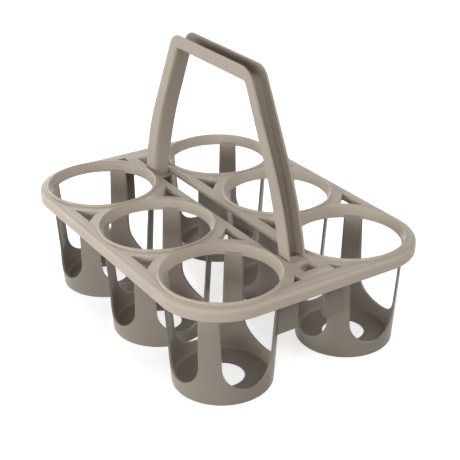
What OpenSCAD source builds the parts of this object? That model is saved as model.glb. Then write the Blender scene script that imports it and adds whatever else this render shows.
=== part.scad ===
// Six-bottle carrying caddy, millimetres, +Z up.
// The origin is on the floor under the middle of the caddy. The rows of wells
// run along X, row "a" on the -Y side and row "b" on the +Y side, and wells 1, 2
// and 3 follow each other from -X to +X.

/* [Wells] */
// Diameter of the hole that a bottle goes into
well_d = 98; // [90:1:106]
// Wall of the ring collar round each hole
ring_wall = 2.2; // [1.8:0.1:2.8]
// Strip of deck left between two neighbouring rings of a row
ring_gap = 1.5; // [1:0.5:12]
// Height of the rounded lip above the deck
lip_h = 2; // [1.5:0.1:3]
// Depth of a ring's collar below the deck's top face
collar_h = 7.8; // [6.5:0.1:10]

/* [Deck] */
// Height of the deck's top face above the floor
deck_h = 98.5; // [88:0.5:120]
// Thickness of the deck plate
plate_t = 2.2; // [1.8:0.1:2.8]
// Depth of the skirt below the deck's top face
skirt_h = 11; // [9:0.5:16]
// Thickness of the skirt
skirt_t = 2.2; // [1.8:0.1:2.8]
// Radius of the rounded edge between deck and skirt
edge_r = 4; // [3:0.5:5]
// Deck left outside the outermost rings
margin = 5.6; // [5.2:0.1:12]
// Corner radius of the deck
corner_r = 53.4; // [40:0.2:56]
// Width of the band left round each ring at the openings between two rings
band_w = 8.4; // [5:0.1:10]
// Width of that band at the openings beside the ends of the centre slot
end_band_w = 7; // [5:0.1:8.4]
// Width of the deck's border at the small openings, along the sides
side_border = 10.7; // [9:0.1:16]
// Width of the deck's border at the small openings, at the ends
end_border = 12.8; // [10:0.1:15]

/* [Centre slot] */
// Width of the slot between the rails
slot_w = 20; // [18:0.5:26]
// Rail left between the slot and a ring at its narrowest
rail_land = 2.3; // [2:0.1:5]
// Full width of a rail
rail_w = 6.6; // [5.6:0.1:9]
// Depth of a rail's slot-side flange below the deck's top face
rail_h = 7; // [5:0.5:10]
// Thickness of a rail's flange
rail_t = 2.4; // [1.8:0.1:2.8]

/* [Cups] */
// Outer diameter of a cup just under its ring
cup_top_d = 96.8; // [92:0.2:98]
// Outer diameter of a cup at the floor
base_d = 85.4; // [76:0.2:90]
// Wall of a cup
wall_t = 2; // [1.6:0.1:2.6]
// Height of a window's sill above the floor
sill_h = 13; // [10:0.5:18]
// Width of a stave where it meets its ring
stave_w = 17.2; // [14:0.2:20]
// Angle by which a window narrows downwards on each side
window_lean = 3.8; // [2:0.1:5]
// Diameter of the hole in a cup's floor
floor_hole_d = 37; // [24:1:50]
// Thickness of a cup's floor
floor_t = 2; // [1.6:0.1:2.6]
// Height of the foot ring that a cup stands on
foot_h = 0.8; // [0.5:0.1:1.4]
// Width of the foot ring
foot_w = 3.2; // [2.8:0.1:4]
// Radius of a cup's bottom edge
base_edge_r = 1.5; // [1:0.1:1.8]
// Radius of the fillet between floor and wall
floor_fillet_r = 2.4; // [1.5:0.1:3]

/* [Handle] */
// Height of the handle's top above the floor
handle_h = 245; // [225:1:275]
// Width of the handle's channel section
handle_w = 16.8; // [13:0.2:18.4]
// Depth of the grip bar
grip_depth = 12.6; // [11:0.2:16]
// Depth of a leg along its straight part
leg_depth = 12; // [10.5:0.1:14]
// Depth of a leg at the deck
foot_depth = 16.4; // [14.5:0.1:19]
// Thickness of the handle's two side flanges
flange_t = 2; // [1.6:0.1:2.4]
// Thickness of the web that joins the flanges
web_t = 2.2; // [1.8:0.1:2.8]
// Lean of the legs' straight part from the vertical
leg_lean = 26; // [23:0.5:29]
// How far a straight leg would overshoot the real, bowed leg at the deck
leg_bow = 12; // [9:0.5:15]
// Lean of a leg's outer face where it meets the deck
foot_lean_out = 10; // [6:0.5:13]
// Lean of a leg's inner face where it meets the deck
foot_lean_in = 10; // [6:0.5:13]
// Outer radius of the handle's top corners
top_corner_r = 16; // [10:0.5:20]
// Inner radius of the handle's top corners
inner_corner_r = 4; // [2:0.5:8]
// Distance from the deck's end to the outer face of a leg
foot_inset = 41.5; // [39:0.5:44]

/* [Foot sockets] */
// How deep a foot stands in its socket
tenon_h = 7; // [5:0.5:8]
// Play round a foot in its socket
fit_gap = 0.15; // [0.1:0.05:0.3]
// Wall of a socket round the foot and round the small window
socket_wall = 2.6; // [2:0.1:3.2]
// Thickness of a socket under the foot
socket_floor = 2.2; // [1.8:0.1:3]
// How far a socket's tongue reaches into the leg's channel
tongue_in = 7; // [5:0.5:9]
// Length of the tongue outside the leg
tongue_out = 4.6; // [3.6:0.2:7]
// Thickness of the tongue, which the foot's sole locks under
tongue_t = 4.5; // [3.5:0.1:4.6]
// Radius of the tongue's corners inside the channel
tongue_r = 3; // [1.5:0.5:4.5]
// Thickness of the sole that closes a leg's channel
sole_t = 2; // [1.5:0.1:2.4]
// Length of the small window behind the tongue
pocket_l = 14.8; // [11:0.2:16]
// Width of the small window behind the tongue
pocket_w = 14; // [11:0.2:15]

/* [Gussets] */
// Distance from the deck's end to the middle of a gusset plate
gusset_inset = 22.4; // [20:0.2:24]
// Clear distance between the two gusset plates of an end
gusset_gap = 26; // [22:0.5:32]
// Thickness of a gusset plate
gusset_t = 2.2; // [1.8:0.1:3]
// Thickness of the bead along a gusset's free edge
bead_t = 3.8; // [3:0.1:5]
// Width of the bead
bead_w = 3.4; // [2.5:0.1:5]
// Height of a gusset's lower edge above the floor
gusset_low = 48.5; // [42:0.5:62]
// Size of the cut corner at a gusset's foot
gusset_cut = 4; // [2:0.5:6]

/* [Hidden] */
well_r = well_d / 2;
ring_r = well_r + ring_wall;
// A well is as wide as its ring or the top of its cup, whichever is wider.
widest_r = max(ring_r, cup_top_d / 2);
well_pitch = 2 * widest_r + ring_gap;
row_y = slot_w / 2 + rail_land + widest_r;
half_l = well_pitch + widest_r + margin;
half_w = row_y + widest_r + margin;
collar_z = deck_h - collar_h;
plate_z = deck_h - plate_t;
band_r = widest_r + band_w;
end_band_r = widest_r + end_band_w;
rail_y = slot_w / 2 + rail_w;
border_y = half_w - side_border;
border_x = half_l - end_border;

// A cup tapers evenly from its ring down to the floor.
base_r = base_d / 2;
cup_top_r = cup_top_d / 2;
cup_taper = (cup_top_r - base_r) / collar_z;
function cup_r(z) = base_r + cup_taper * z;

// A window is a wedge with a round bottom that its two sides run into.
win_top_half = cup_top_r * sin(45 - asin(stave_w / 2 / cup_top_r));
win_h = collar_z - sill_h;
win_r = (win_top_half - win_h * tan(window_lean)) * cos(window_lean)
        / (1 - tan(window_lean) * cos(window_lean));
win_c = sill_h + win_r;
win_tangent_z = win_c - win_r * sin(window_lean);
win_tangent_half = win_r * cos(window_lean);

// A leg's outer face meets the deck at foot_x, and its inner face at heel_x.
foot_x = half_l - foot_inset;
heel_x = foot_x - foot_depth;
tenon_z = deck_h - tenon_h;
line_x = foot_x + leg_bow;
mouth_half = handle_w / 2 - flange_t;

socket_z = tenon_z - socket_floor;
tongue_x = foot_x - tongue_in;
pocket_x = foot_x + tongue_out;
socket_out_x = pocket_x + pocket_l + socket_wall;
socket_half = handle_w / 2 + fit_gap + socket_wall;
gusset_x = half_l - gusset_inset;

// The smallest step that keeps a cut from ending in the face it cuts.
over = 1;
arc_step = 3;

ROWS = [["a", -1], ["b", 1]];
COLUMNS = [["1", -1], ["2", 0], ["3", 1]];
WELLS = [for (row = ROWS) for (column = COLUMNS)
    [str(row[0], column[0]), column[1] * well_pitch, row[1] * row_y]];

DECK_COLOUR = [0.74, 0.69, 0.63];
SKIRT_COLOUR = [0.66, 0.61, 0.55];
CUP_COLOUR = [0.56, 0.52, 0.48];
HANDLE_COLOUR = [0.70, 0.65, 0.59];

// Points of an arc about (cx, cy), from angle a0 to a1, both ends included.
function arc(cx, cy, r, a0, a1) =
    let (n = max(1, ceil(abs(a1 - a0) / arc_step)))
    [for (i = [0:n]) let (a = a0 + (a1 - a0) * i / n) [cx + r * cos(a), cy + r * sin(a)]];

function reversed(list) = [for (i = [len(list) - 1:-1:0]) list[i]];
function mirrored(list) = [for (p = list) [-p[0], p[1]]];

// Right half of the handle's outline, from the foot up to the top: a foot that
// stands straight, a bow that leans over until it meets the straight leg, a
// rounded corner and half of the level top.
//   top     height of the top
//   line    where the straight leg would meet the deck
//   foot    where the bowed leg meets the deck
//   lean    lean of the bow at the deck
//   corner  radius of the corner
function half_arch(top, line, foot, lean, corner) =
    let (
        bow_r = (line - foot)
            / ((sin(leg_lean) - sin(lean)) * tan(leg_lean) - (cos(lean) - cos(leg_lean))),
        bow_cx = foot - bow_r * cos(lean),
        bow_cz = deck_h - bow_r * sin(lean),
        turn = 90 - leg_lean,
        top_x = line - (top - deck_h) * tan(leg_lean),
        corner_x = top_x - corner * tan(turn / 2)
    )
    concat(
        [[foot, tenon_z]],
        arc(bow_cx, bow_cz, bow_r, lean, leg_lean),
        arc(corner_x, top - corner, corner, leg_lean, 90)
    );

function whole_arch(half) = concat(half, reversed(mirrored(half)));

inner_line = line_x - leg_depth / cos(leg_lean);
web_line = inner_line + web_t / cos(leg_lean);
outer_arch = whole_arch(
    half_arch(handle_h, line_x, foot_x, foot_lean_out, top_corner_r));
inner_arch = whole_arch(
    half_arch(handle_h - grip_depth, inner_line, heel_x, foot_lean_in, inner_corner_r));
web_arch = whole_arch(
    half_arch(handle_h - grip_depth + web_t, web_line, heel_x + web_t, foot_lean_in,
        inner_corner_r + web_t));

// Rectangle of the given half sizes with round corners.
module round_rect(hx, hy, r) {
    square([2 * hx, 2 * (hy - r)], center = true);
    square([2 * (hx - r), 2 * hy], center = true);
    for (sx = [-1, 1])
        for (sy = [-1, 1])
            translate([sx * (hx - r), sy * (hy - r)]) circle(r, $fn = 96);
}

module well_circles(r) {
    for (well = WELLS)
        translate([well[1], well[2]]) circle(r, $fn = 120);
}

// Small openings in the deck: what lies between the rings' bands, the rails
// and the border. The end rings' bands are narrower on their far side.
module deck_openings() {
    difference() {
        square([2 * border_x, 2 * border_y], center = true);
        square([2 * border_x + over, 2 * rail_y], center = true);
        well_circles(end_band_r);
        intersection() {
            square([2 * well_pitch, 2 * half_w], center = true);
            well_circles(band_r);
        }
        for (sx = [-1, 1])
            for (sy = [-1, 1])
                translate([sx * (well_pitch + band_r), sy * (row_y + band_r)])
                    square([2 * band_r, 2 * band_r], center = true);
    }
}

module deck() {
    color(DECK_COLOUR)
        translate([0, 0, plate_z])
            linear_extrude(plate_t)
                difference() {
                    round_rect(half_l - edge_r, half_w - edge_r, corner_r - edge_r);
                    well_circles(ring_r);
                    deck_openings();
                    square([2 * heel_x, 2 * rail_y], center = true);
                    square([2 * socket_out_x, 2 * socket_half], center = true);
                }
}

// Cross-section of the skirt: the edge's round and the wall below it. Its
// outer face is at x = 0 and its top at y = 0.
module skirt_profile() {
    intersection() {
        translate([-edge_r, -edge_r])
            difference() {
                circle(edge_r, $fn = 64);
                circle(edge_r - skirt_t, $fn = 64);
            }
        translate([-edge_r, -edge_r]) square(edge_r);
    }
    translate([-skirt_t, -skirt_h]) square([skirt_t, skirt_h - edge_r]);
}

// One straight run of the skirt, centred, with its outer face at y = dist.
module skirt_run(length, dist) {
    translate([length / 2, dist, deck_h])
        rotate([90, 0, -90])
            linear_extrude(length)
                mirror([1, 0]) skirt_profile();
}

module skirt() {
    color(SKIRT_COLOUR) {
        for (side = [0, 180]) {
            rotate([0, 0, side]) skirt_run(2 * (half_l - corner_r), half_w);
            rotate([0, 0, side + 90]) skirt_run(2 * (half_w - corner_r), half_l);
        }
        for (corner = [[1, 1, 0], [-1, 1, 90], [-1, -1, 180], [1, -1, 270]])
            translate([corner[0] * (half_l - corner_r), corner[1] * (half_w - corner_r), deck_h])
                rotate([0, 0, corner[2]])
                    rotate_extrude(angle = 90, $fn = 96)
                        translate([corner_r, 0]) skirt_profile();
    }
}

// A rail beside the slot: a strip of deck and a flange along the slot's edge,
// cut away where the rings pass.
module rail(side) {
    color(DECK_COLOUR)
        difference() {
            union() {
                translate([-heel_x, side > 0 ? slot_w / 2 : -rail_y, plate_z])
                    cube([2 * heel_x, rail_w, plate_t]);
                translate([-heel_x, side > 0 ? slot_w / 2 : -slot_w / 2 - rail_t,
                        deck_h - rail_h])
                    cube([2 * heel_x, rail_t, rail_h]);
            }
            translate([0, 0, deck_h - rail_h - over])
                linear_extrude(rail_h + 2 * over) well_circles(widest_r);
        }
}

// Ring: a rounded lip on top of a collar that narrows to the cup's size.
module ring(at) {
    lip_r = ring_wall / 2;
    lip_z = deck_h + lip_h - lip_r;
    color(DECK_COLOUR)
        translate([at[0], at[1], 0])
            rotate_extrude($fn = 120) {
                polygon([
                    [well_r, lip_z],
                    [cup_top_r - wall_t, collar_z],
                    [cup_top_r, collar_z],
                    [ring_r, plate_z],
                    [ring_r, lip_z]
                ]);
                translate([well_r + lip_r, lip_z]) circle(lip_r, $fn = 48);
            }
}

module window_outline() {
    translate([0, win_c]) circle(win_r, $fn = 96);
    polygon([
        [win_tangent_half, win_tangent_z],
        [win_top_half + over * tan(window_lean), collar_z + over],
        [-win_top_half - over * tan(window_lean), collar_z + over],
        [-win_tangent_half, win_tangent_z]
    ]);
}

// The two cuts that open a cup's four windows.
module windows() {
    for (turn = [0, 90])
        rotate([90, 0, turn])
            linear_extrude(3 * cup_top_r, center = true) window_outline();
}

// The four staves that carry a cup's base from its ring.
module staves(at) {
    color(CUP_COLOUR)
        translate([at[0], at[1], 0])
            difference() {
                rotate_extrude($fn = 120)
                    polygon([
                        [cup_r(win_c) - wall_t, win_c],
                        [cup_r(win_c), win_c],
                        [cup_top_r, collar_z],
                        [cup_top_r - wall_t, collar_z]
                    ]);
                windows();
            }
}

// The lower part of a cup: floor with its hole, foot ring and the wall up to
// where the staves begin.
module cup_base(at) {
    floor_top = foot_h + floor_t;
    inner_r = cup_r(floor_top) - wall_t - floor_fillet_r;
    color(CUP_COLOUR)
        translate([at[0], at[1], 0])
            difference() {
                rotate_extrude($fn = 120)
                    polygon(concat(
                        [
                            [floor_hole_d / 2, floor_top],
                            [floor_hole_d / 2, foot_h],
                            [base_r - foot_w, foot_h],
                            [base_r - foot_w, 0]
                        ],
                        arc(base_r - base_edge_r, base_edge_r, base_edge_r, 270, 345),
                        [
                            [cup_r(win_c), win_c],
                            [cup_r(win_c) - wall_t, win_c]
                        ],
                        arc(inner_r, floor_top + floor_fillet_r, floor_fillet_r, 360, 270)
                    ));
                windows();
            }
}

module socket_block() {
    translate([heel_x, -socket_half, socket_z])
        cube([socket_out_x - heel_x, 2 * socket_half, deck_h - socket_z]);
}

// Foot socket: the end of the centre slot, with the recess that a leg's foot
// stands in, the tongue over the foot's sole, and the small window behind it.
module socket(end) {
    recess_half = handle_w / 2 + fit_gap;
    recess_end = foot_x + fit_gap;
    tongue_half = mouth_half - fit_gap;
    color(DECK_COLOUR)
        mirror([end < 0 ? 1 : 0, 0, 0])
            difference() {
                socket_block();
                translate([heel_x - over, -recess_half, tenon_z])
                    cube([recess_end - heel_x + over, 2 * recess_half, tenon_h - tongue_t]);
                translate([0, 0, tenon_z])
                    linear_extrude(tenon_h + over)
                        difference() {
                            translate([heel_x - over, -recess_half])
                                square([recess_end - heel_x + over, 2 * recess_half]);
                            translate([tongue_x + foot_depth, 0])
                                round_rect(foot_depth, tongue_half, tongue_r);
                        }
                translate([pocket_x, -pocket_w / 2, socket_z - over])
                    cube([pocket_l, pocket_w, deck_h - socket_z + 2 * over]);
            }
}

// Gusset plate seen along X, from its free edge to the middle of the end cup.
module gusset_outline() {
    free_y = gusset_gap / 2;
    polygon([
        [free_y, gusset_low + gusset_cut],
        [free_y + gusset_cut, gusset_low],
        [row_y, gusset_low],
        [row_y, plate_z],
        [free_y, plate_z]
    ]);
}

// Gusset: a plate that hangs from the deck beside the socket and braces the
// near stave of an end cup, with a bead along its free edge.
module gusset(end, side) {
    color(CUP_COLOUR)
        mirror([end < 0 ? 1 : 0, 0, 0])
            mirror([0, side < 0 ? 1 : 0, 0])
                difference() {
                    translate([gusset_x, 0, 0])
                        rotate([90, 0, 90]) {
                            linear_extrude(gusset_t, center = true) gusset_outline();
                            linear_extrude(bead_t, center = true)
                                intersection() {
                                    gusset_outline();
                                    translate([gusset_gap / 2, 0]) square([bead_w, deck_h]);
                                }
                        }
                    socket_block();
                    translate([well_pitch, row_y, 0]) {
                        cylinder(h = collar_z, r1 = base_r, r2 = cup_top_r, $fn = 120);
                        translate([0, 0, collar_z])
                            cylinder(h = plate_z - collar_z, r1 = cup_top_r, r2 = ring_r, $fn = 120);
                    }
                }
}

// Side plate of the handle, from y = low to y = low + thick.
module handle_plate(outline, hole, low, thick) {
    translate([0, low + thick, 0])
        rotate([90, 0, 0])
            linear_extrude(thick)
                difference() {
                    polygon(outline);
                    polygon(hole);
                }
}

// Carrying handle: an arch of channel section, open outwards. A sole closes the
// channel at each foot and locks under its socket's tongue.
module handle() {
    color(HANDLE_COLOUR) {
        handle_plate(outer_arch, inner_arch, -handle_w / 2, flange_t);
        handle_plate(outer_arch, inner_arch, handle_w / 2 - flange_t, flange_t);
        handle_plate(web_arch, inner_arch, -handle_w / 2, handle_w);
        for (end = [-1, 1])
            translate([end > 0 ? heel_x + web_t : -foot_x, -mouth_half, tenon_z])
                cube([foot_depth - web_t, 2 * mouth_half, sole_t]);
    }
}

deck();
skirt();
rail(-1);  // rail_a
rail(1);  // rail_b
for (well = WELLS) {
    at = [well[1], well[2]];
    ring(at);
    staves(at);
    cup_base(at);
}
for (end = [-1, 1]) {
    number = end < 0 ? "1" : "3";
    socket(end);
    gusset(end, -1);
    gusset(end, 1);
}
handle();
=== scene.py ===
"""Looks of a six-bottle carrying caddy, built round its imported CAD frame.

Sizes are in millimetres and become metres when a mesh is made. Rows of wells run
along X, row "a" on the -Y side and row "b" on the +Y side.
"""

from __future__ import annotations

import logging
from dataclasses import dataclass, field
from enum import Enum

import bmesh
import bpy
import numpy as np
from mathutils import Matrix, Vector
from mathutils.geometry import delaunay_2d_cdt

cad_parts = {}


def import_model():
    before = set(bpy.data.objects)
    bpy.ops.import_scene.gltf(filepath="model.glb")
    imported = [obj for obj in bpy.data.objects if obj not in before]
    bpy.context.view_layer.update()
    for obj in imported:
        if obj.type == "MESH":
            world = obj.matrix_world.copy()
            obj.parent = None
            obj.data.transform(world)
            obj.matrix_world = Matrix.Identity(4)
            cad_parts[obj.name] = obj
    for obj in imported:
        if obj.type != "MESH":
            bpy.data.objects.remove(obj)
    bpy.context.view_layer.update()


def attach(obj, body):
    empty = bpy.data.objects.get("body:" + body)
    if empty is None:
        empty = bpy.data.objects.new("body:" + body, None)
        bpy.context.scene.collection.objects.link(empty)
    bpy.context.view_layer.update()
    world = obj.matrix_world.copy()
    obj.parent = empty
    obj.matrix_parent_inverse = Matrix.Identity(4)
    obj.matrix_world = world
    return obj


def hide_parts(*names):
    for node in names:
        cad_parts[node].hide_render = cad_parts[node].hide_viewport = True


LOG = logging.getLogger("caddy")
MM = 0.001
# Points of a loop, or of a net of triangles, that are nearer than this are one point.
SAME_IN_LOOP, SAME_IN_NET = 1e-5, 1e-7
# Points across a rounded edge, and the angle in degrees from which an edge is sharp.
ROUND_STEPS, SHARP_ANGLE = 6, 42
UNTURNED = np.eye(3)

Array = np.ndarray
Pair = tuple[float, float]
Triple = tuple[float, float, float]
Object = bpy.types.Object
Node = bpy.types.Node
Material = bpy.types.Material
Socket = bpy.types.NodeSocket
# A loop of points, with the radius of its edge on the high and on the low face.
Edged = tuple[Array, float, float]


class Slot(Enum):
    """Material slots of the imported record."""

    DECK = "deck_plastic"
    CUP = "cup_plastic"
    HANDLE = "handle_plastic"


# ---- plane curves


def bearing(step: Array | Pair) -> float:
    """Angle of a plane step (x, y) from +X, in degrees."""
    return np.degrees(np.arctan2(step[1], step[0]))


def arc(centre: Pair, radius: float, start: float, end: float, count: int) -> Array:
    """Centre plus radius times (cos a, sin a), for even angles a from start to end, in degrees."""
    a = np.radians(np.linspace(start, end, count))
    return np.column_stack([centre[0] + radius * np.cos(a), centre[1] + radius * np.sin(a)])


def quarter_round(radius: float) -> tuple[Array, Array]:
    """Radius times 1 - sin a, and times 1 - cos a, for even angles a from 0 to 90 degrees."""
    a = np.radians(np.linspace(0, 90, ROUND_STEPS))
    return radius * (1 - np.sin(a)), radius * (1 - np.cos(a))


def without_doubles(loop: Array) -> Array:
    """Drops each point of a closed loop that lies on the one before it."""
    gap = np.linalg.norm(loop - np.roll(loop, 1, axis=0), axis=1)
    return loop[gap > SAME_IN_LOOP]


def side_normals(step: Array) -> Array:
    """Outward normals of an anticlockwise loop's sides: (y, -x) of each step, of length 1."""
    side = step / np.linalg.norm(step, axis=1, keepdims=True)
    return np.column_stack([side[:, 1], -side[:, 0]])


def offset_loop(loop: Array, distance: float) -> Array:
    """Moves an anticlockwise loop outwards: each point by the mitre of its sides' normals.

    Args:
        loop: points of shape (n, 2), with no doubled point.
        distance: how far its sides move outwards; negative moves them inwards.

    Returns:
        The moved loop, with as many points.
    """
    before = side_normals(loop - np.roll(loop, 1, axis=0))
    after = side_normals(np.roll(loop, -1, axis=0) - loop)
    mitre = (before + after) / (1 + np.sum(before * after, axis=1, keepdims=True))
    return loop + distance * mitre


def round_rect(half_x: float, half_y: float, radius: float, per_corner: int) -> Array:
    """Anticlockwise rectangle with round corners, four quarter arcs joined by straights.

    Args:
        half_x: half its size along x.
        half_y: half its size along y.
        radius: radius of its corners.
        per_corner: number of points on each corner.

    Returns:
        The loop, round the origin.
    """
    x, y = half_x - radius, half_y - radius
    return np.vstack([arc((sx * x, sy * y), radius, turn, turn + 90, per_corner)
                      for sx, sy, turn in ((1, 1, 0), (-1, 1, 90), (-1, -1, 180), (1, -1, 270))])


def round_corners(corners: Array, radii: Array, per_corner: int = 7) -> Array:
    """Rounds a polygon: each corner becomes the arc that touches both of its sides.

    Args:
        corners: points of shape (n, 2).
        radii: radius at each corner; 0 keeps the corner.
        per_corner: number of points on each arc.

    Returns:
        The rounded loop.
    """
    parts = []
    for at, last, following, r in zip(corners, np.roll(corners, 1, axis=0),
                                      np.roll(corners, -1, axis=0), radii):
        if r <= 0:
            parts.append(at[None])
            continue
        u = (last - at) / np.linalg.norm(last - at)
        v = (following - at) / np.linalg.norm(following - at)
        half = np.arccos(np.clip(u @ v, -1, 1)) / 2
        middle = at + (u + v) / np.linalg.norm(u + v) * r / np.sin(half)
        a0 = np.arctan2(*(at + u * r / np.tan(half) - middle)[::-1])
        a1 = np.arctan2(*(at + v * r / np.tan(half) - middle)[::-1])
        a1 = a0 + (a1 - a0 + np.pi) % (2 * np.pi) - np.pi
        parts.append(arc(tuple(middle), r, np.degrees(a0), np.degrees(a1), per_corner))
    return np.vstack(parts)


def inside(points: Array, loop: Array) -> Array:
    """Even-odd test: counts the sides that a ray along +X from each point crosses.

    Args:
        points: shape (n, 2).
        loop: closed loop, shape (m, 2).

    Returns:
        Boolean array of length n.
    """
    ax, ay = loop[:, 0], loop[:, 1]
    bx, by = np.roll(ax, -1), np.roll(ay, -1)
    px, py = points[:, :1], points[:, 1:]
    spans = (ay > py) != (by > py)
    # No ray spans a level side, so any rise but 0 does for it.
    rise = np.where(by == ay, 1, by - ay)
    return np.count_nonzero(spans & (px < ax + (py - ay) * (bx - ax) / rise), axis=1) % 2 == 1


def fill(outline: Array, holes: list[Array]) -> tuple[Array, Array]:
    """Triangles between an outline and its holes: a Delaunay net, kept where it is inside.

    Args:
        outline: outer loop.
        holes: inner loops.

    Returns:
        Points of shape (n, 2) and triangles of shape (m, 3).
    """
    loops = [outline, *holes]
    starts = np.cumsum([0] + [len(loop) for loop in loops])
    sides = [(int(s + i), int(s + (i + 1) % len(loop)))
             for s, loop in zip(starts, loops) for i in range(len(loop))]
    made = delaunay_2d_cdt([Vector(p) for p in np.vstack(loops)], sides, [], 0, SAME_IN_NET)
    points, faces = np.array([tuple(p) for p in made[0]]), np.array(made[2])
    middle = points[faces].mean(axis=1)
    keep = inside(middle, outline)
    for hole in holes:
        keep &= ~inside(middle, hole)
    return points, faces[keep]


# ---- meshes


def put_in_scene(name: str, data: bpy.types.ID) -> Object:
    """Makes an object of a mesh, lamp or camera, and links it to the scene.

    Args:
        name: the object's name.
        data: the mesh, lamp or camera.

    Returns:
        The object.
    """
    made = bpy.data.objects.new(name, data)
    bpy.context.scene.collection.objects.link(made)
    return made


@dataclass
class Surface:
    """Grids and fills of points in millimetres, gathered into one mesh."""

    points: list[Array] = field(default_factory=list)
    faces: list[list[int]] = field(default_factory=list)

    def add(self, points: Array, faces: Array) -> None:
        """Adds points of shape (n, 3) and the faces between them, by their numbers there."""
        self.faces += (np.asarray(faces) + sum(map(len, self.points))).tolist()
        self.points.append(points)

    def grid(self, points: Array, close_u: bool = False, close_v: bool = False) -> None:
        """Adds a grid of quads over a function of two parameters.

        Args:
            points: shape (u, v, 3).
            close_u: joins the last row to the first.
            close_v: joins the last column to the first.
        """
        nu, nv = points.shape[:2]
        index = np.arange(nu * nv).reshape(nu, nv)
        if close_u:
            index = np.vstack([index, index[:1]])
        if close_v:
            index = np.hstack([index, index[:, :1]])
        quads = np.stack([index[:-1, :-1], index[1:, :-1], index[1:, 1:], index[:-1, 1:]], -1)
        self.add(points.reshape(-1, 3), quads.reshape(-1, 4))

    def piece(self, name: str, material: Material, replaced: list[str],
              merge: float = 2e-3) -> Object:
        """Makes the object: doubles merged, faces turned outwards, shaded smooth.

        Args:
            name: the object's name.
            material: its finish.
            replaced: CAD nodes that it stands for.
            merge: distance under which points are one, in millimetres.

        Returns:
            The object, riding on the root body.
        """
        mesh = bpy.data.meshes.new(name)
        mesh.from_pydata((np.vstack(self.points) * MM).tolist(), [], self.faces)
        bm = bmesh.new()
        bm.from_mesh(mesh)
        bmesh.ops.remove_doubles(bm, verts=bm.verts, dist=merge * MM)
        bmesh.ops.dissolve_degenerate(bm, edges=bm.edges, dist=merge * MM / 4)
        bmesh.ops.recalc_face_normals(bm, faces=bm.faces)
        opened = sum(not edge.is_manifold for edge in bm.edges)
        bm.to_mesh(mesh)
        bm.free()
        mesh.shade_smooth()
        mesh.set_sharp_from_angle(angle=np.radians(SHARP_ANGLE))
        mesh.materials.append(material)
        made = put_in_scene(name, mesh)
        flat = made.modifiers.new("flat_faces", "WEIGHTED_NORMAL")
        flat.keep_sharp = True
        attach(made, "root")
        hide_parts(*replaced)
        LOG.info("%s: %d faces, %d open edges", name, len(mesh.polygons), opened)
        return made


def in_plane(points: Array, height: float) -> Array:
    """Lifts plane points (x, y) to (x, y, height)."""
    return np.column_stack([points, np.full(len(points), height)])


@dataclass
class Plate:
    """A flat plate whose edges are rounded: each loop carried through the thickness."""

    outline: Edged
    holes: list[Edged]
    low: float
    high: float

    def add_to(self, surface: Surface, turn: Array = UNTURNED,
               shift: Triple = (0.0, 0.0, 0.0)) -> None:
        """Adds the plate's faces and edges: each point times `turn`, plus `shift`.

        Args:
            surface: what they are added to.
            turn: matrix of shape (3, 3) that turns or mirrors the plate.
            shift: where the plate's own origin goes.
        """
        faces: dict[float, list[Array]] = {self.high: [], self.low: []}
        for number, (loop, high_r, low_r) in enumerate([self.outline, *self.holes]):
            clean = without_doubles(loop)
            sign = -1 if number == 0 else 1
            (high_in, high_down), (low_up, low_in) = quarter_round(high_r), quarter_round(low_r)
            inset = np.concatenate([high_in, low_in])
            height = np.concatenate([self.high - high_down, self.low + low_up])
            rows = [in_plane(offset_loop(clean, sign * i) if i > SAME_IN_LOOP else clean, z)
                    for i, z in zip(inset, height)]
            surface.grid(np.stack(rows) @ turn.T + shift, close_v=True)
            faces[self.high].append(rows[0][:, :2])
            faces[self.low].append(rows[-1][:, :2])
        for z, loops in faces.items():
            points, triangles = fill(loops[0], loops[1:])
            surface.add(in_plane(points, z) @ turn.T + shift, triangles)


def lathe(profile: Array, centre: Pair, count: int) -> Array:
    """Turns a profile (radius, height) about an upright axis.

    Args:
        profile: shape (n, 2).
        centre: the axis's x and y.
        count: steps round the axis.

    Returns:
        Grid of shape (count, n, 3).
    """
    a = np.linspace(0, 2 * np.pi, count, endpoint=False)[:, None]
    return np.stack([centre[0] + profile[:, 0] * np.cos(a), centre[1] + profile[:, 0] * np.sin(a),
                     np.broadcast_to(profile[:, 1], (count, len(profile)))], -1)


# ---- the caddy


@dataclass(frozen=True)
class Layout:
    """Sizes that the sub-assemblies share."""

    pitch: float = 103.9
    row_y: float = 63.5
    half_l: float = 160.7
    half_w: float = 120.3
    corner_r: float = 53.4
    corner_steps: int = 60
    edge_r: float = 4.0
    deck_z: float = 98.5
    plate_z: float = 96.3
    collar_z: float = 90.7
    heel_x: float = 102.8
    foot_x: float = 119.2
    tenon_z: float = 91.5
    slot_half: float = 10.0

    def wells(self) -> dict[str, Pair]:
        """Names and middles of the six wells."""
        return {f"{row}{column + 2}": (column * self.pitch, side * self.row_y)
                for row, side in (("a", -1), ("b", 1)) for column in (-1, 0, 1)}

    def outline(self, inset: float) -> Array:
        """The caddy's outline seen from above, moved inwards by `inset`."""
        return round_rect(self.half_l - inset, self.half_w - inset, self.corner_r - inset,
                          self.corner_steps)


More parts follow.
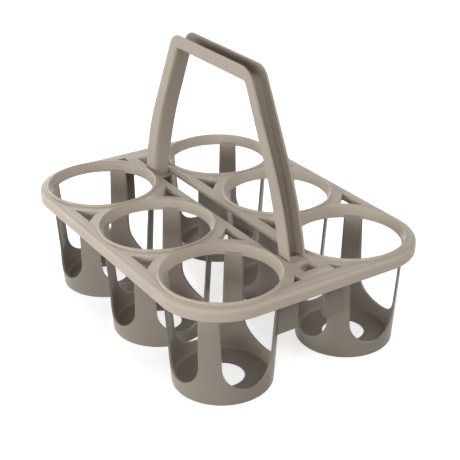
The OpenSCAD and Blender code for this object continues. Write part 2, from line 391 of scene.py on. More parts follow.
@dataclass
class Ring:
    """Rounded lip, the fillet that joins it to the deck, and the narrowing collar."""

    layout: Layout
    hole_r: float = 49.0
    wall: float = 2.2
    lip_h: float = 2.0
    foot_r: float = 0.2
    collar_in: float = 46.4
    collar_out: float = 48.4
    collar_soft: float = 0.4
    steps: int = 180

    @property
    def lip_r(self) -> float:
        """Radius of the lip's round top."""
        return self.wall / 2

    @property
    def spread(self) -> float:
        """Radius at which the fillet has run out into the deck."""
        rise = self.foot_r - (self.lip_h - self.lip_r)
        return self.hole_r + self.lip_r + np.sqrt((self.lip_r + self.foot_r) ** 2 - rise ** 2)

    def profile(self) -> Array:
        """Section of the ring: collar, lip, the hollow fillet beside it, and underside.

        Returns:
            Closed loop of points (radius, height).
        """
        at, soft = self.layout, self.collar_soft
        lip = (self.hole_r + self.lip_r, at.deck_z + self.lip_h - self.lip_r)
        fillet = (self.spread, at.deck_z + self.foot_r)
        meet = bearing(np.subtract(fillet, lip))
        return np.vstack([
            [[self.collar_in + soft, at.collar_z]],
            arc((self.collar_in + soft, at.collar_z + soft), soft, 255, 170, 5),
            arc(lip, self.lip_r, 180, meet, 17),
            arc(fillet, self.foot_r, 180 + meet, 270, 9)[1:],
            [[self.spread, at.plate_z], [self.hole_r + self.wall, at.plate_z]],
            [[self.collar_out, at.collar_z]],
        ])

    def build(self, name: str, centre: Pair, material: Material) -> Object:
        """Turns the profile about the well's axis.

        Args:
            name: the well's name.
            centre: the well's middle.
            material: the ring's finish.

        Returns:
            The ring.
        """
        surface = Surface()
        surface.grid(lathe(self.profile(), centre, self.steps), close_u=True, close_v=True)
        return surface.piece(f"ring_{name}_moulded", material, [f"ring_{name}"])


@dataclass
class Cup:
    """A tapered cup with four windows: staves above, a base with floor and foot ring below."""

    layout: Layout
    base_r: float = 42.7
    top_r: float = 48.4
    wall: float = 2.0
    sill: float = 13.0
    stave_w: float = 17.2
    lean: float = 3.8
    hole_r: float = 18.5
    hole_soft: float = 0.5
    floor_low: float = 0.8
    floor_high: float = 2.8
    foot_w: float = 3.2
    foot_soft: float = 0.3
    base_edge: float = 1.5
    bend_z: float = 4.0
    fillet: float = 3.0
    fillet_end: float = 356.0
    edge: float = 0.4
    tab_z: float = 93.2
    seam_z: float = 8.0
    steps: int = 30

    def outer(self, z: Array | float) -> Array | float:
        """Outer radius at height z: an even taper from the floor to the collar."""
        return self.base_r + (self.top_r - self.base_r) * z / self.layout.collar_z

    def window(self) -> tuple[Array, Array]:
        """Half a window's edge, from the sill up: an arc, then a line that leans outwards.

        Returns:
            The points (half width, height) and their outward normals.
        """
        tilt = np.radians(self.lean)
        half = self.top_r * np.sin(np.radians(45) - np.arcsin(self.stave_w / 2 / self.top_r))
        radius = ((half - (self.layout.collar_z - self.sill) * np.tan(tilt)) * np.cos(tilt)
                  / (1 - np.tan(tilt) * np.cos(tilt)))
        middle = self.sill + radius
        round_part = arc((0, middle), radius, -90, -self.lean, self.steps)
        rise = np.linspace(0, 1, 26)[1:, None]
        start = round_part[-1]
        end = np.array([start[0] + (self.tab_z - start[1]) * np.tan(tilt), self.tab_z])
        straight = start + rise * (end - start)
        n_round = (round_part - (0, middle)) / radius
        n_straight = np.broadcast_to([np.cos(tilt), -np.sin(tilt)], straight.shape)
        return np.vstack([round_part, straight]), np.vstack([n_round, n_straight])

    def place(self, half_width: Array, z: Array, depth: Array) -> Array:
        """Puts a window-plane point on the wall: the angle whose sine is half width by radius."""
        r = self.outer(z) - depth
        return self.polar(np.arcsin(np.clip(half_width / r, -1, 1)), r, z)

    @staticmethod
    def polar(turn: Array, r: Array, z: Array) -> Array:
        """Point at an angle from a window's middle, a radius and a height."""
        return np.stack([r * np.cos(turn), r * np.sin(turn), z + 0 * turn], -1)

    def eighth(self) -> list[Array]:
        """One eighth of the cup, from a window's middle to a stave's middle.

        Both walls run evenly from the seam and the stave's middle to the window's edge.

        Returns:
            Grids of the outer wall, the inner wall, the window's rounded edge, the top of
            the stave and the base.
        """
        edge, normal = self.window()
        stave, beside = np.pi / 4, len(edge) - self.steps
        turn = np.concatenate([np.linspace(0, stave, self.steps), np.full(beside, stave)])
        height = np.concatenate([np.full(self.steps, self.seam_z),
                                 np.linspace(self.seam_z, self.tab_z, beside + 1)[1:]])
        start = edge + self.edge * normal
        across = np.linspace(0, 1, 12)[:, None]
        z = height + across * (start[:, 1] - height)
        grids = []
        for deep in (0, self.wall):
            first = np.arcsin(start[:, 0] / (self.outer(start[:, 1]) - deep))
            grids.append(self.polar(turn + across * (first - turn), self.outer(z) - deep, z))
        near, far = quarter_round(self.edge)
        moved = edge + np.concatenate([near, far])[:, None, None] * normal
        sunk = np.concatenate([far, self.wall - near])[:, None]
        grids.append(self.place(moved[..., 0], moved[..., 1], sunk))
        top = np.concatenate([grids[0][:, -1], grids[2][1:-1, -1], grids[1][::-1, -1]])
        half = len(top) // 2
        grids.append(np.stack([top[:half], top[::-1][:half]]))
        base = self.base_profile()
        around = np.linspace(0, stave, self.steps)[:, None]
        grids.append(self.polar(around, base[:, 0], base[:, 1]))
        return grids

    def base_profile(self) -> Array:
        """Section of the base, from the outer wall round under to the inner wall.

        Returns:
            Points (radius, height).
        """
        inner = self.outer(self.floor_high) - self.wall - self.fillet
        foot_in, s = self.base_r - self.foot_w, self.hole_soft
        return np.vstack([
            [[self.outer(self.seam_z), self.seam_z], [self.outer(self.bend_z), self.bend_z]],
            arc((self.base_r - self.base_edge, self.base_edge), self.base_edge, 0, -90, 8),
            [[foot_in + self.foot_soft, 0], [foot_in, self.foot_soft]],
            [[foot_in, self.floor_low]],
            arc((self.hole_r + s, self.floor_low + s), s, 270, 180, 5),
            arc((self.hole_r + 2 * s, self.floor_high - 2 * s), 2 * s, 180, 90, 7),
            arc((inner, self.floor_high + self.fillet), self.fillet, 270, self.fillet_end, 10),
            [[self.outer(self.seam_z) - self.wall, self.seam_z]],
        ])

    def build(self, name: str, centre: Pair, material: Material) -> Object:
        """Repeats the eighth, mirrored and turned, about the well's axis.

        Args:
            name: the well's name.
            centre: the well's middle.
            material: the cup's finish.

        Returns:
            The cup.
        """
        surface = Surface()
        eighth = self.eighth()
        for quarter in range(4):
            c, s = np.cos(quarter * np.pi / 2), np.sin(quarter * np.pi / 2)
            spin = np.array([[c, -s, 0], [s, c, 0], [0, 0, 1]])
            for flip in (1, -1):
                for grid in eighth:
                    surface.grid(grid * (1, flip, 1) @ spin.T + (*centre, 0))
        return surface.piece(f"cup_{name}_moulded", material,
                             [f"staves_{name}", f"base_{name}"])


@dataclass
class DeckPlate:
    """The plate that the rings stand in, with its twelve small openings and the slot."""

    layout: Layout
    ring: Ring
    band_r: float = 59.6
    end_band_r: float = 58.2
    rail_y: float = 16.6
    border_y: float = 109.6
    border_x: float = 147.9
    corner: float = 0.25
    edge: float = 0.2
    flange: float = 1.4
    flange_low: float = 92.4
    flange_soft: float = 0.3
    flange_gap: float = 0.01
    slot_r: float = 1.2
    slot_edge: float = 0.35
    recess_half: float = 8.55
    recess_x: float = 119.35
    recess_r: float = 0.5
    tongue_half: float = 6.25
    tongue_x: float = 112.2
    tongue_r: float = 3.0
    nook_r: float = 0.4
    pocket_x: float = 131.2
    pocket_half_l: float = 7.4
    pocket_half_w: float = 7.0
    pocket_r: float = 0.8

    def ring_hole(self, centre: Pair) -> Array:
        """Circle in which a ring stands, with as many points as the ring."""
        steps = self.ring.steps
        return arc(centre, self.ring.spread, 0, 360 - 360 / steps, steps)

    @staticmethod
    def opening(corners: list[Pair], middles: list[Pair | None], normals: list[Pair],
                ring_r: float, radius: float) -> Array:
        """Opening with rounded corners between circles and straight borders.

        Args:
            corners: middles of the corner arcs, anticlockwise.
            middles: middle of the circle along each side, from corner k to k + 1, or None.
            normals: outward normal of each straight side.
            ring_r: radius of the circles.
            radius: radius of the corners.

        Returns:
            The opening's loop.
        """
        parts = []
        for k, corner in enumerate(corners):
            c = np.array(corner)
            before, after = middles[k - 1], middles[k]
            a0 = bearing(before - c if before else normals[k - 1])
            a1 = a0 + (bearing(after - c if after else normals[k]) - a0) % 360
            parts.append(arc(corner, radius, a0, a1, 8))
            if after:
                follow = np.array(corners[(k + 1) % len(corners)])
                b0 = bearing(c - after)
                b1 = b0 + (bearing(follow - after) - b0 + 180) % 360 - 180
                parts.append(arc(after, ring_r, b0, b1, 18)[1:-1])
        return np.vstack(parts)

    def between(self, border: float) -> Array:
        """Opening between two rings of a row and a straight border.

        Args:
            border: the border's distance from the row's middle line.

        Returns:
            The opening's loop, round the middle between the two wells.
        """
        p, r, c = self.layout.pitch / 2, self.band_r, self.corner
        x = p - np.sqrt((r + c) ** 2 - (border - c) ** 2)
        return self.opening(
            [(0, np.sqrt((r + c) ** 2 - p ** 2)), (x, border - c), (-x, border - c)],
            [(p, 0), None, (-p, 0)], [(0, 0), (0, 1), (0, 0)], r, c)

    def at_end(self) -> Array:
        """Small opening between an end ring, the slot's border and the end's border.

        Returns:
            The opening's loop, round the end well's middle.
        """
        a = self.border_x - self.layout.pitch - self.corner
        b = self.layout.row_y - self.rail_y - self.corner
        r = self.end_band_r + self.corner
        return self.opening([(a, b), (np.sqrt(r * r - b * b), b), (a, np.sqrt(r * r - a * a))],
                            [None, (0, 0), None], [(0, 1), (0, 0), (1, 0)], self.end_band_r,
                            self.corner)

    def openings(self) -> list[Array]:
        """All twelve small openings, mirrored from the three different ones.

        Returns:
            Their loops, anticlockwise.
        """
        at = self.layout
        outer = self.between(self.border_y - at.row_y)
        inner = self.between(at.row_y - self.rail_y)
        end = self.at_end()
        made = []
        for sx in (-1, 1):
            for sy in (-1, 1):
                for loop, step, flip in ((outer, at.pitch / 2, (1, sy)),
                                         (inner, at.pitch / 2, (1, -sy)),
                                         (end, at.pitch, (sx, -sy))):
                    moved = loop * flip + (sx * step, sy * at.row_y)
                    # A loop mirrored once runs backwards, so it is read from its end.
                    made.append(moved[::flip[0] * flip[1]])
        return made

    def recess(self) -> tuple[Array, Array]:
        """Path round the recess at the slot's +X end and round the tongue in it.

        Returns:
            Its eight corners, from -Y to +Y, and the radius at each.
        """
        half = np.array([
            (self.layout.heel_x, self.recess_half), (self.recess_x, self.recess_half),
            (self.recess_x, self.tongue_half), (self.tongue_x, self.tongue_half)])
        radii = [0, self.recess_r, self.nook_r, self.tongue_r]
        return np.vstack([half * (1, -1), half[::-1]]), np.array(radii + radii[::-1])

    def slot(self) -> Array:
        """The slot between the rails, with a recess at each end round a rounded tongue.

        Returns:
            The slot's loop.
        """
        x, y = self.layout.heel_x, self.layout.slot_half
        path, radii = self.recess()
        right = np.vstack([[(x, -y)], path, [(x, y)]])
        radii = np.array([self.slot_r, *radii, self.slot_r])
        return round_corners(np.vstack([right, -right]), np.concatenate([radii, radii]))

    def pocket(self, side: int) -> Array:
        """The small window behind the foot at the slot's -X (-1) or +X (1) end."""
        shape = round_rect(self.pocket_half_l, self.pocket_half_w, self.pocket_r, 7)
        return shape + (side * self.pocket_x, 0)

    def build(self, material: Material) -> Object:
        """Makes the plate from its outline and its holes, and a wall under each opening.

        Args:
            material: the deck's finish.

        Returns:
            The plate.
        """
        at, soft = self.layout, self.flange_soft
        holes = [(self.ring_hole(centre), 0.0, 0.0) for centre in at.wells().values()]
        holes += [(loop, self.edge, 0.0) for loop in self.openings()]
        holes += [(self.slot(), self.slot_edge, 0.0)]
        holes += [(self.pocket(side), self.edge, 0.0) for side in (-1, 1)]
        surface = Surface()
        Plate((at.outline(at.edge_r), 0.0, 0.0), holes, at.plate_z, at.deck_z).add_to(surface)
        for loop in self.openings():
            clean = without_doubles(loop)
            Plate((offset_loop(clean, self.flange), 0.0, soft), [(clean, 0.0, soft)],
                  self.flange_low, at.plate_z - self.flange_gap).add_to(surface)
        return surface.piece("deck_moulded", material, ["deck"])


@dataclass
class Skirt:
    """The rounded edge and the wall that runs round the deck."""

    layout: Layout
    height: float = 11.0
    wall: float = 2.2
    edge: float = 0.6

    def profile(self) -> Array:
        """Section of the skirt: round, wall, soft foot, inner face.

        Returns:
            Closed loop of points (distance inside the outer face, height).
        """
        at, low = self.layout, self.layout.deck_z - self.height
        big, small, e = at.edge_r, at.edge_r - self.wall, self.edge
        top = at.deck_z - big
        outer = arc((big, top), big, 90, 180, 12)
        foot_out = arc((e, low + e), e, 180, 270, 5)
        foot_in = arc((self.wall - e, low + e), e, 270, 360, 5)
        inner = arc((big, top), small, 180, 90, 8)
        return np.vstack([outer, foot_out, foot_in, inner])

    def build(self, material: Material) -> Object:
        """Carries the section round the deck's outline.

        Args:
            material: the skirt's finish.

        Returns:
            The skirt.
        """
        rows = [in_plane(self.layout.outline(inset), z) for inset, z in self.profile()]
        surface = Surface()
        surface.grid(np.stack(rows), close_u=True, close_v=True)
        return surface.piece("skirt_moulded", material, ["skirt"])


@dataclass
class Rail:
    """The flange under the deck along one side of the slot."""

    layout: Layout
    thick: float = 2.3
    low: float = 91.5
    foot_r: float = 0.5

    def build(self, row: str, side: int, material: Material) -> Object:
        """Carries the flange's section along the slot.

        Args:
            row: the rail's letter.
            side: -1 or 1, the side of the slot.
            material: the rail's finish.

        Returns:
            The rail.
        """
        at, half = self.layout, self.thick / 2
        section = round_corners(
            np.array([(-half, self.low), (half, self.low), (half, at.plate_z),
                      (-half, at.plate_z)]), np.array([self.foot_r, self.foot_r, 0, 0]), 6)
        section = section + (side * (at.slot_half + half), 0)
        surface = Surface()
        x = np.linspace(-at.heel_x, at.heel_x, 3)
        grid = np.stack([np.column_stack([np.full(len(section), v), section]) for v in x])
        surface.grid(grid, close_v=True)
        points, triangles = fill(without_doubles(section), [])
        for v in (-at.heel_x, at.heel_x):
            surface.add(np.column_stack([np.full(len(points), v), points]), triangles)
        return surface.piece(f"rail_{row}_moulded", material, [f"rail_{row}"])


@dataclass
class FootSocket:
    """The walls under the deck that hold a foot and frame the small window."""

    layout: Layout
    deck: DeckPlate
    half: float = 11.15
    out_x: float = 141.2
    corner: float = 0.8
    low: float = 89.3
    sole_high: float = 94.0
    bite: float = 0.02

    def build(self, number: str, side: int, material: Material) -> Object:
        """Stacks the walls, the tongue's lower part and the socket's floor.

        Args:
            number: the socket's number.
            side: -1 or 1, the end of the slot.
            material: the socket's finish.

        Returns:
            The socket.
        """
        at, window = self.layout, self.deck.pocket(1)
        floor = np.array([(at.heel_x, -self.half), (self.out_x, -self.half),
                          (self.out_x, self.half), (at.heel_x, self.half)])
        # Seen from above: a frame open towards the slot, round recess and tongue.
        path, path_radii = self.deck.recess()
        frame = np.vstack([floor, path[::-1]])
        radii = np.array([0, self.corner, self.corner, 0, *path_radii])
        upper = round_corners(frame, radii)
        tongue = [6, 7, 8, 9]
        lower = round_corners(np.delete(frame, tongue, axis=0), np.delete(radii, tongue))
        surface = Surface()
        # The middle layer reaches a little into its neighbours, so each layer stays closed.
        layers = ((upper, self.sole_high, at.plate_z),
                  (lower, at.tenon_z - self.bite, self.sole_high + self.bite),
                  (floor, self.low, at.tenon_z))
        for loop, low, high in layers:
            Plate((loop, 0.0, 0.0), [(window, 0.0, 0.0)], low, high).add_to(
                surface, np.diag([side, side, 1.0]))
        return surface.piece(f"socket_{number}_moulded", material,
                             [f"socket_{number}"])


@dataclass
class Gusset:
    """Plate that hangs from the deck and braces a stave, with a bead on its free edge."""

    layout: Layout
    cup: Cup
    x: float = 138.3
    free_y: float = 13.0
    low: float = 48.5
    thick: float = 2.2
    soft: float = 0.3
    bead_t: float = 3.8
    bead_w: float = 3.4
    bead_soft: float = 0.6
    bead_foot: float = 0.5
    cut: float = 4.0
    bury: float = 0.6
    sunk: float = 0.3
    # The web's two lower corners, as steps from the bead's two lines at the gusset's foot.
    web_corners: tuple[Pair, Pair] = ((1.1, 1.4), (-0.4, 0.8))

    def cup_side(self, z: Array) -> Array:
        """Y of the cup's wall at the plate's plane: row minus half the chord, sunk in a little."""
        r = np.minimum(self.cup.outer(z), self.cup.top_r)
        return self.layout.row_y - np.sqrt(r ** 2 - (self.x - self.layout.pitch) ** 2) + self.sunk

    def build(self, row: str, number: str, sx: int, sy: int, material: Material) -> Object:
        """Makes the plate and its bead, and mirrors them to their corner.

        Args:
            row: letter of the gusset's row.
            number: number of its end.
            sx: -1 or 1, its end.
            sy: -1 or 1, its row.
            material: the gusset's finish.

        Returns:
            The gusset.
        """
        high, low = self.layout.plate_z, self.low
        z = np.linspace(low, high, 14)
        # The web's free edge lies inside the bead, so no two faces share a plane.
        free, edge = self.free_y + self.bury, self.free_y + self.bead_w
        (y0, z0), (y1, z1) = self.web_corners
        web = np.vstack([
            [[free, low + self.cut], [free + y0, low + z0]],
            [[edge + y1, low + z1], [edge + self.bury, low]],
            np.column_stack([self.cup_side(z), z]), [[free, high]]])
        bead = np.vstack([
            arc((self.free_y + self.cut, low + self.cut), self.cut, 180, 250, 8),
            [[edge, low + self.bead_foot], [edge, high], [self.free_y, high]]])
        # The plate's own x, y and thickness become the caddy's y, z and x.
        turn = np.array([[0, 0, sx], [sy, 0, 0], [0, 1, 0]], float)
        surface = Surface()
        for loop, thick, soft in ((web, self.thick, self.soft),
                                  (bead, self.bead_t, self.bead_soft)):
            Plate((loop, soft, soft), [], -thick / 2, thick / 2).add_to(
                surface, turn, (sx * self.x, 0.0, 0.0))
        return surface.piece(f"gusset_{row}{number}_moulded", material,
                             [f"gusset_{row}{number}"], merge=1e-4)


@dataclass
class Handle:
    """The carrying arch: a channel section, open outwards, that follows two arches."""

    layout: Layout
    top: float = 245.0
    width: float = 16.8
    grip: float = 12.6
    leg: float = 12.0
    flange: float = 2.0
    web: float = 2.2
    lean: float = 26.0
    bow: float = 12.0
    foot_lean: float = 10.0
    outer_corner: float = 16.0
    inner_corner: float = 4.0
    soft_in: float = 3.0
    soft_out: float = 0.6
    root_r: float = 0.7
    rim_flat: float = 0.15

    def half_arch(self, top: float, line: float, foot: float, corner: float) -> Array:
        """Right half of an arch: straight foot, bow, straight leg, round corner, level top.

        Args:
            top: height of the top.
            line: x at which the straight leg would meet the deck.
            foot: x at which the bowed leg meets it.
            corner: radius of the top corner.

        Returns:
            Points (x, z) from the foot to the middle of the top.
        """
        at = self.layout
        big, small = np.radians(self.lean), np.radians(self.foot_lean)
        bow_r = (line - foot) / ((np.sin(big) - np.sin(small)) * np.tan(big)
                                 - (np.cos(small) - np.cos(big)))
        bow = arc((foot - bow_r * np.cos(small), at.deck_z - bow_r * np.sin(small)), bow_r,
                  self.foot_lean, self.lean, 26)
        top_x = line - (top - at.deck_z) * np.tan(big)
        corner_x = top_x - corner * np.tan(np.radians(90 - self.lean) / 2)
        turn = arc((corner_x, top - corner), corner, self.lean, 90, 18)
        share = np.linspace(0, 1, 22)[1:-1, None]
        leg = bow[-1] + share * (turn[0] - bow[-1])
        foot_z = np.linspace(at.tenon_z, at.deck_z, 4)[:-1]
        level = turn[-1] + np.linspace(0, 1, 12)[1:, None] * (np.array([0, top]) - turn[-1])
        straight = np.column_stack([np.full(len(foot_z), foot), foot_z])
        return np.vstack([straight, bow, leg, turn, level])

    @staticmethod
    def whole(half: Array) -> Array:
        """Both halves as one line, from the right foot to the left."""
        return np.vstack([half, half[-2::-1] * (-1, 1)])

    def section(self) -> Array:
        """Channel section: inner corner, flange's rim, and the root between flange and web.

        Returns:
            Closed loop of rows (y, millimetres from the inner face, share of the depth).
        """
        half, e, o, root = self.width / 2, self.soft_in, self.soft_out, self.root_r
        inner = half - self.flange
        rim = self.flange / 2 - self.rim_flat
        parts = [
            arc((half - e, e), e, -90, 0, 9),
            arc((half - o, -o), o, 0, 90, 6),
            arc((inner + rim, -rim), rim, 90, 180, 6),
            arc((inner - root, self.web + root), root, 0, -90, 6),
        ]
        share = np.repeat([0.0, 1.0, 1.0, 0.0], [len(part) for part in parts])
        right = np.column_stack([np.vstack(parts), share])
        return np.vstack([right, right[::-1] * (-1, 1, 1)])

    def build(self, material: Material) -> Object:
        """Carries the section along the pair of arches and closes its two feet.

        Args:
            material: the handle's finish.

        Returns:
            The handle.
        """
        at = self.layout
        line = at.foot_x + self.bow
        inner_line = line - self.leg / np.cos(np.radians(self.lean))
        outer = self.whole(self.half_arch(self.top, line, at.foot_x, self.outer_corner))
        inner = self.whole(self.half_arch(self.top - self.grip, inner_line, at.heel_x,
                                          self.inner_corner))
        across = outer - inner
        deep = np.linalg.norm(across, axis=1)
        unit = across / deep[:, None]
        y, near, share = self.section().T
        distance = near + share * deep[:, None]
        grid = np.stack([inner[:, :1] + unit[:, :1] * distance,
                         np.broadcast_to(y, distance.shape),
                         inner[:, 1:] + unit[:, 1:] * distance], -1)
        surface = Surface()
        surface.grid(grid, close_v=True)
        for end in (0, -1):
            points, triangles = fill(without_doubles(grid[end][:, :2]), [])
            surface.add(in_plane(points, at.tenon_z), triangles)
        return surface.piece("handle_moulded", material, ["handle"])


# ---- finishes


@dataclass(frozen=True)
class NodeBench:
    """Adds nodes to the tree of a material or of the world."""

    tree: bpy.types.NodeTree

    def feed(self, node: Node, inputs: dict[str | int, object]) -> Node:
        """Fills a node's inputs: one that gets a socket is linked, any other is set.

        Args:
            node: the node.
            inputs: what each input gets, by its name or number.

        Returns:
            The node.
        """
        for key, value in inputs.items():
            if isinstance(value, Socket):
                self.tree.links.new(value, node.inputs[key])
            else:
                node.inputs[key].default_value = value
        return node

    def add(self, kind: str, inputs: dict[str | int, object]) -> Node:
        """Adds a node of that kind and fills its inputs."""
        return self.feed(self.tree.nodes.new(kind), inputs)

    def noise(self, place: Socket, scale: float, detail: float) -> Socket:
        """Noise at a place, mostly between 0.3 and 0.7."""
        inputs = {"Vector": place, "Scale": scale, "Detail": detail}
        return self.add("ShaderNodeTexNoise", inputs).outputs["Fac"]

    def spread(self, source: Socket, before: Pair, after: Pair = (0.0, 1.0)) -> Socket:
        """Carries a value evenly from the span before to the span after, and no further."""
        ends = zip(("From Min", "From Max", "To Min", "To Max"), before + after)
        return self.add("ShaderNodeMapRange", {"Value": source, **dict(ends)}).outputs["Result"]

    def mix(self, share: Socket, first: object, second: object) -> Socket:
        """Colour that is the first where the share is 0 and the second where it is 1.

        Args:
            share: the second colour's share.
            first: a colour with its alpha, or a socket.
            second: the same.

        Returns:
            The mixed colour.
        """
        node = self.tree.nodes.new("ShaderNodeMix")
        node.data_type = "RGBA"
        # A Mix node's colours are its inputs 6 and 7 and its output 2.
        return self.feed(node, {0: share, 6: first, 7: second}).outputs[2]

    def shown(self) -> Socket:
        """Joins the rays that show the background: the largest of camera, glossy, transmission.

        Returns:
            Socket that is 1 for such a ray and 0 for any other.
        """
        path = self.tree.nodes.new("ShaderNodeLightPath")
        found = path.outputs["Is Camera Ray"]
        for kind in ("Is Glossy Ray", "Is Transmission Ray"):
            larger = self.add("ShaderNodeMath", {0: found, 1: path.outputs[kind]})
            larger.operation = "MAXIMUM"
            found = larger.outputs[0]
        return found


def shade(colour: Triple, factor: float) -> tuple[float, ...]:
    """The colour times a factor, at most 1, with its alpha."""
    return (*np.minimum(np.array(colour) * factor, 1), 1)


@dataclass(frozen=True)
class MouldedPlastic:
    """Satin moulded polypropylene: fine grain, faint clouding, and a painted highlight on sharp
    edges.

    Its sizes are in metres, and its scales count waves in a metre.
    """

    name: str
    colour: Triple
    # Painted light: the colour blends to this lighter one between these heights, standing in for
    # light falling in through the ring.
    painted_light_top_colour: Triple | None = None
    painted_light_z: Pair = (0.068, 0.091)
    cloud: float = 0.035
    cloud_scale: float = 22.0
    # Painted highlight on sharp edges: how much lighter they turn, and the Pointiness span over
    # which it comes in.
    edge_highlight: float = 0.30
    edge_highlight_at: Pair = (0.53, 0.60)
    roughness: float = 0.32
    roughness_drift: float = 0.04
    roughness_scale: float = 160.0
    specular: float = 0.1
    ior: float = 1.49
    grain_depth: float = 0.00003
    grain_scale: float = 1900.0
    grain_strength: float = 0.5
    noise_span: Pair = (0.3, 0.7)

    def clouded(self, bench: NodeBench, place: Socket, colour: Triple) -> Socket:
        """Colour that drifts with noise on a place, by the share `cloud` darker and lighter."""
        share = bench.spread(bench.noise(place, self.cloud_scale, 3.0), self.noise_span)
        return bench.mix(share, shade(colour, 1 - self.cloud), shade(colour, 1 + self.cloud))

    def material(self) -> Material:
        """Builds the node material.

        Returns:
            The material.
        """
        made = bpy.data.materials.new(self.name)
        made.use_nodes = True
        bench = NodeBench(made.node_tree)
        place = bench.add("ShaderNodeTexCoord", {}).outputs["Object"]
        clouded_with_painted_light = self.clouded(bench, place, self.colour)
        # Painted light: lighter towards the top, by height in object coordinates.
        if self.painted_light_top_colour:
            height = bench.add("ShaderNodeSeparateXYZ", {0: place}).outputs["Z"]
            clouded_with_painted_light = bench.mix(bench.spread(height, self.painted_light_z), clouded_with_painted_light,
                               self.clouded(bench, place, self.painted_light_top_colour))
        # Painted highlight: sharply curved edges, found by Pointiness, turn lighter.
        edges = bench.add("ShaderNodeNewGeometry", {}).outputs["Pointiness"]
        edge_highlighted = bench.mix(bench.spread(edges, self.edge_highlight_at), clouded_with_painted_light,
                         shade(self.colour, 1 + self.edge_highlight))
        drift = (self.roughness - self.roughness_drift, self.roughness + self.roughness_drift)
        rough = bench.spread(bench.noise(place, self.roughness_scale, 2.0), self.noise_span, drift)
        bump = bench.add("ShaderNodeBump", {
            "Strength": self.grain_strength, "Distance": self.grain_depth,
            "Height": bench.noise(place, self.grain_scale, 2.0)})
        bench.feed(made.node_tree.nodes["Principled BSDF"], {
            "Base Color": edge_highlighted, "Roughness": rough, "Normal": bump.outputs["Normal"],
            "IOR": self.ior, "Specular IOR Level": self.specular})
        return made


class Finish(Enum):
    """The caddy's finishes, with painted shade on cups and gussets and painted light on the cups'
    tops.
    """

    DECK = MouldedPlastic("deck_satin", (0.49, 0.43, 0.355))
    # The gussets' colour is a darker copy of the deck's plastic: painted shade under the deck.
    GUSSET = MouldedPlastic("gusset_satin", (0.25, 0.218, 0.184))
    # The cups' colour is a darker copy of the deck's plastic as painted shade, with painted light
    # towards their top.
    CUP = MouldedPlastic("cup_satin", (0.30, 0.261, 0.221), painted_light_top_colour=(0.42, 0.37, 0.305))
    HANDLE = MouldedPlastic("handle_satin", (0.40, 0.35, 0.29))


# ---- the studio


@dataclass(frozen=True)
class Softbox:
    """A square lamp on a circle round the caddy, turned towards its middle."""

    name: str
    azimuth: float
    elevation: float
    watts: float
    distance: float = 1.8
    size: float = 1.0
    aim: Triple = (0.0, 0.0, 0.1)

    def hang(self) -> Object:
        """Hangs the lamp: azimuth 0 is the -Y side and 90 the +X side.

        Returns:
            The lamp.
        """
        a, e = np.radians([self.azimuth, self.elevation])
        out = np.array([np.sin(a) * np.cos(e), -np.cos(a) * np.cos(e), np.sin(e)])
        data = bpy.data.lights.new(self.name, "AREA")
        data.shape, data.size, data.energy = "SQUARE", self.size, self.watts
        made = put_in_scene(self.name, data)
        made.location = out * self.distance + np.array(self.aim)
        made.rotation_euler = Vector(-out).to_track_quat("-Z", "Y").to_euler()
        made.visible_camera = False
        return made


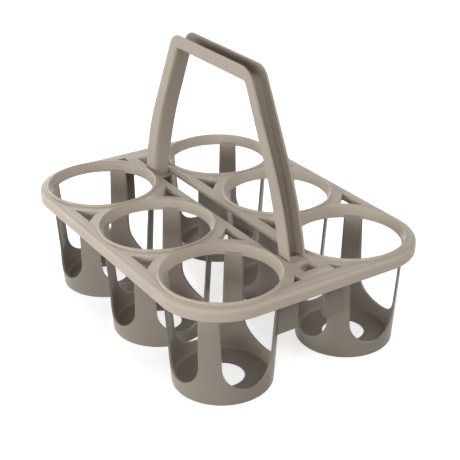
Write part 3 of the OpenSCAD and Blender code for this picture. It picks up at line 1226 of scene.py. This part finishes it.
@dataclass
class Studio:
    """White floor and surroundings, soft lamps, and the camera at the photograph's place."""

    camera_mm: Triple = (746.78, -465.62, 515.98)
    yaw: float = 56.789
    pitch: float = 27.109
    roll: float = -0.190
    lens: float = 85.17
    shift: Pair = (-0.02384, 0.02174)
    sight: Pair = (0.01, 50.0)
    floor_half: float = 6.0
    floor_dull: Triple = (0.06, 0.058, 0.056)
    floor_white: Triple = (0.70, 0.70, 0.70)
    floor_roughness: float = 0.12
    floor_specular: float = 0.4
    floor_glow: float = 0.65
    world_level: float = 0.01
    lamps: tuple[Softbox, ...] = (
        Softbox("left", -60, 5, 18),
        Softbox("left_back", -100, 25, 11),
        Softbox("front_low", -5, 3, 25),
        Softbox("front_right", 42, 2, 20),
        Softbox("right_high", 85, 50, 9),
        Softbox("right_back", 130, 25, 12),
        Softbox("behind", 220, 5, 5),
    )

    def camera(self) -> Object:
        """Makes the camera: its yaw and pitch give its line of sight, its roll turns it there.

        Returns:
            The camera.
        """
        y, p, r = np.radians([self.yaw, self.pitch, self.roll])
        ahead = np.array([-np.sin(y) * np.cos(p), np.cos(y) * np.cos(p), -np.sin(p)])
        right = np.array([np.cos(y), np.sin(y), 0])
        right = right * np.cos(r) + np.cross(right, ahead) * np.sin(r)
        up = np.cross(right, ahead)
        data = bpy.data.cameras.new("camera")
        data.lens = self.lens
        data.shift_x, data.shift_y = self.shift
        data.clip_start, data.clip_end = self.sight
        made = put_in_scene("camera", data)
        place = np.eye(4)
        place[:3, 0], place[:3, 1], place[:3, 2] = right, up, -ahead
        place[:3, 3] = np.array(self.camera_mm) * MM
        made.matrix_world = Matrix(place.tolist())
        bpy.context.scene.camera = made
        return made

    def floor(self) -> Object:
        """Lays a floor that the camera sees white and that throws little light back up.

        Returns:
            The floor.
        """
        mesh = bpy.data.meshes.new("floor")
        s = self.floor_half
        mesh.from_pydata([(-s, -s, 0), (s, -s, 0), (s, s, 0), (-s, s, 0)], [], [(0, 1, 2, 3)])
        made = put_in_scene("floor", mesh)
        material = bpy.data.materials.new("pale_floor")
        material.use_nodes = True
        material.node_tree.nodes.clear()
        bench = NodeBench(material.node_tree)
        dull = bench.add("ShaderNodeBsdfDiffuse", {"Color": shade(self.floor_dull, 1)})
        white = bench.add("ShaderNodeBsdfPrincipled", {
            "Base Color": shade(self.floor_white, 1), "Roughness": self.floor_roughness,
            "Specular IOR Level": self.floor_specular, "Emission Color": (1, 1, 1, 1),
            "Emission Strength": self.floor_glow})
        pick = bench.add("ShaderNodeMixShader", {
            0: bench.shown(), 1: dull.outputs[0], 2: white.outputs[0]})
        bench.add("ShaderNodeOutputMaterial", {"Surface": pick.outputs[0]})
        mesh.materials.append(material)
        return made

    def surroundings(self) -> None:
        """Sets the world: plain pale light on the object, and white to the camera."""
        world = bpy.data.worlds.new("studio")
        bpy.context.scene.world = world
        world.use_nodes = True
        bench = NodeBench(world.node_tree)
        strength = bench.spread(bench.shown(), (0.0, 1.0), (self.world_level, 1.0))
        bench.feed(world.node_tree.nodes["Background"],
                   {"Color": (1, 1, 1, 1), "Strength": strength})

    def build(self) -> None:
        """Sets up camera, lamps, floor, surroundings and plain colour handling."""
        self.camera()
        self.floor()
        self.surroundings()
        for lamp in self.lamps:
            lamp.hang()
        bpy.context.scene.view_settings.view_transform = "Standard"


def corners(box: tuple[Vector, Vector]) -> list[list[float]]:
    """Turns the two corners of a box into plain lists."""
    return [list(map(float, corner)) for corner in box]


def main() -> None:
    """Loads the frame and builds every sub-assembly in order."""
    logging.basicConfig(level=logging.INFO, format="%(name)s: %(message)s")
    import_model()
    layout = Layout()
    plastic = {finish: finish.value.material() for finish in Finish}
    ring, cup = Ring(layout), Cup(layout)
    deck = DeckPlate(layout, ring)
    deck.build(plastic[Finish.DECK])
    Skirt(layout).build(plastic[Finish.DECK])
    for row, side in (("a", -1), ("b", 1)):
        Rail(layout).build(row, side, plastic[Finish.DECK])
    for name, centre in layout.wells().items():
        ring.build(name, centre, plastic[Finish.DECK])
        cup.build(name, centre, plastic[Finish.CUP])
    for number, side in (("1", -1), ("3", 1)):
        FootSocket(layout, deck).build(number, side, plastic[Finish.DECK])
        for row, across in (("a", -1), ("b", 1)):
            Gusset(layout, cup).build(row, number, side, across, plastic[Finish.GUSSET])
    Handle(layout).build(plastic[Finish.HANDLE])
    Studio().build()


if __name__ == "__main__":
    main()
